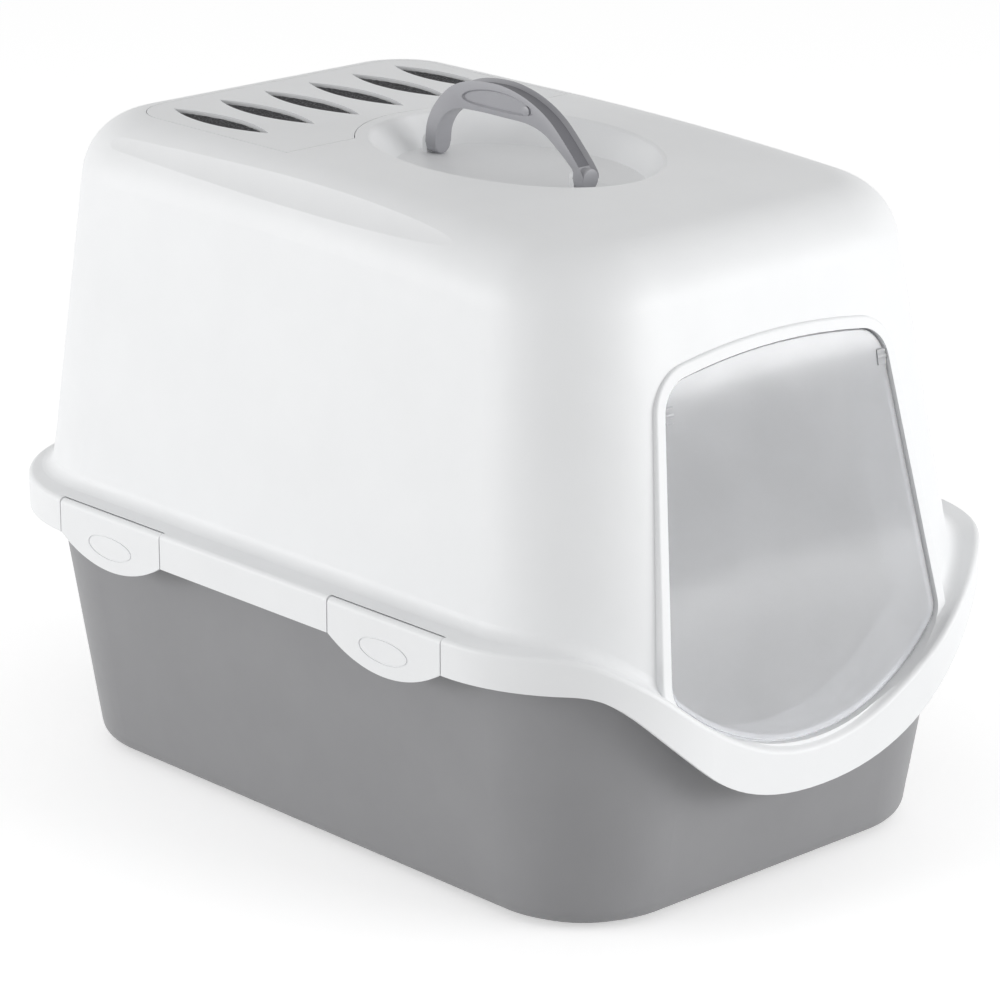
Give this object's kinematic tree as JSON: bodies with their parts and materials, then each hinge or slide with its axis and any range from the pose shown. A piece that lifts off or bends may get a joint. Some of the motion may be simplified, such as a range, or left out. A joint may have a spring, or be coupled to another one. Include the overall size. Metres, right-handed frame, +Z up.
{
  "type": "covered litter box",
  "caption": "Covered litter box: tapered tray, clip-on domed hood with drooping front lip, clear swing door, roof filter vent and folding carry handle.",
  "frame": {"origin": "centre of the footprint, on the surface that the tray stands on", "axes": "+Z up, -Y towards the door, +X across the width"},
  "size_m": [0.4, 0.56, 0.4422],
  "materials": {
    "tray_grey": "moulded grey polypropylene",
    "hood_white": "moulded polypropylene, fine satin",
    "door_clear": "clear polystyrene, polished",
    "handle_grey": "moulded grey polypropylene",
    "filter_foam": "open-cell foam with activated carbon"
  },
  "bodies": {
    "tray": {"base_tray": "tray_grey"},
    "hood": {"hood": "hood_white", "hood_roof": "hood_white"},
    "door": {"swing_door": "door_clear"},
    "handle": {"carry_handle": "handle_grey"},
    "vent": {"vent_cover": "hood_white"},
    "filter": {"charcoal_filter": "filter_foam"},
    "clip_front_left": {"clip_front_left": "hood_white"},
    "clip_front_right": {"clip_front_right": "hood_white"},
    "clip_rear_left": {"clip_rear_left": "hood_white"},
    "clip_rear_right": {"clip_rear_right": "hood_white"}
  },
  "joints": [
    {"name": "hood_lift", "type": "slide", "parent": "tray", "child": "hood", "axis": [0, 0, 1], "range_m": [0, 0.2]},
    {"name": "door_swing", "type": "hinge", "parent": "hood", "child": "door", "pos_m": [0, -0.23544, 0.303], "axis": [-1, 0, 0], "range_deg": [0, 85]},
    {"name": "handle_fold", "type": "hinge", "parent": "hood", "child": "handle", "pos_m": [0, -0.0105, 0.396], "axis": [0, 1, 0], "range_deg": [-72, 72]},
    {"name": "vent_lift", "type": "slide", "parent": "hood", "child": "vent", "axis": [0, 0, 1], "range_m": [0, 0.08]},
    {"name": "filter_lift", "type": "slide", "parent": "hood", "child": "filter", "axis": [0, 0, 1], "range_m": [0, 0.04]},
    {"name": "clip_front_left_swing", "type": "hinge", "parent": "hood", "child": "clip_front_left", "pos_m": [-0.1966, -0.1225, 0.1781], "axis": [0, 1, 0], "range_deg": [0, 100]},
    {"name": "clip_front_right_swing", "type": "hinge", "parent": "hood", "child": "clip_front_right", "pos_m": [0.1966, -0.1225, 0.1781], "axis": [0, -1, 0], "range_deg": [0, 100]},
    {"name": "clip_rear_left_swing", "type": "hinge", "parent": "hood", "child": "clip_rear_left", "pos_m": [-0.1966, 0.128, 0.1781], "axis": [0, 1, 0], "range_deg": [0, 100]},
    {"name": "clip_rear_right_swing", "type": "hinge", "parent": "hood", "child": "clip_rear_right", "pos_m": [0.1966, 0.128, 0.1781], "axis": [0, -1, 0], "range_deg": [0, 100]}
  ],
  "couplings": [
    {"joint": "filter_lift", "follows": "vent_lift", "ratio": 0.5}
  ]
}
